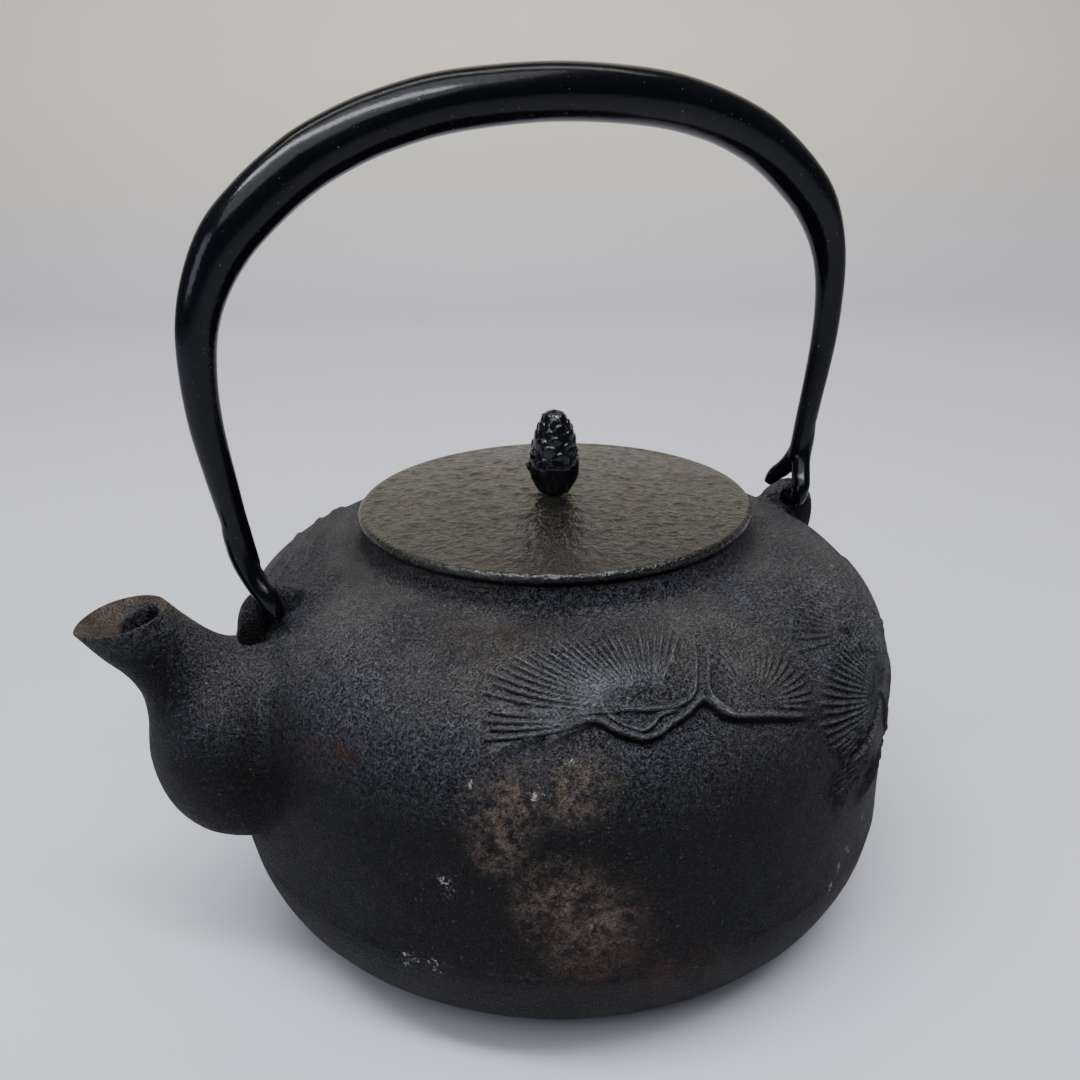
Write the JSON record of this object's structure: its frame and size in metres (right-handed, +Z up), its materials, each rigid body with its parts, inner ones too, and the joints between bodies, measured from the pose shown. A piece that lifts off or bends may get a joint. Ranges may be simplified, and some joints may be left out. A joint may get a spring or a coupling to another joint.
{
  "type": "cast iron kettle",
  "caption": "Round cast iron tea kettle with a bulbous side spout, a flat lift-off lid with a pine cone knob, and a tall forked bail handle hung on cast lugs.",
  "frame": {"origin": "centre of the flat base, on the surface that the kettle stands on", "axes": "+Z up, the spout points along -X, the handle spans X, +Y completes the right-handed frame"},
  "size_m": [0.2159, 0.18, 0.2187],
  "materials": {
    "body_iron": "matte dark cast iron with sand grain, dust and small rust patches",
    "lid_lacquer": "satin black lacquer over grained cast iron",
    "knob_lacquer": "very glossy black lacquer",
    "handle_lacquer": "glossy black lacquer on forged iron",
    "plain_iron": "bare dull iron"
  },
  "bodies": {
    "kettle": {"kettle_body": "body_iron", "spout": "body_iron", "lug_front": "body_iron", "lug_rear": "body_iron"},
    "lid": {"lid": "lid_lacquer", "under_lid_washer": "plain_iron"},
    "knob": {"pine_cone_knob": "knob_lacquer", "knob_tang": "plain_iron"},
    "handle": {"handle": "handle_lacquer"}
  },
  "joints": [
    {"name": "handle_swing", "type": "hinge", "parent": "kettle", "child": "handle", "pos_m": [0, 0, 0.098], "axis": [1, 0, 0], "range_deg": [-5, 0]},
    {"name": "lid_lift", "type": "slide", "parent": "kettle", "child": "lid", "axis": [0, 0, 1], "range_m": [0, 0.05]},
    {"name": "knob_spin", "type": "hinge", "parent": "lid", "child": "knob", "pos_m": [0, 0, 0.113], "axis": [0, 0, 1], "continuous": true}
  ]
}
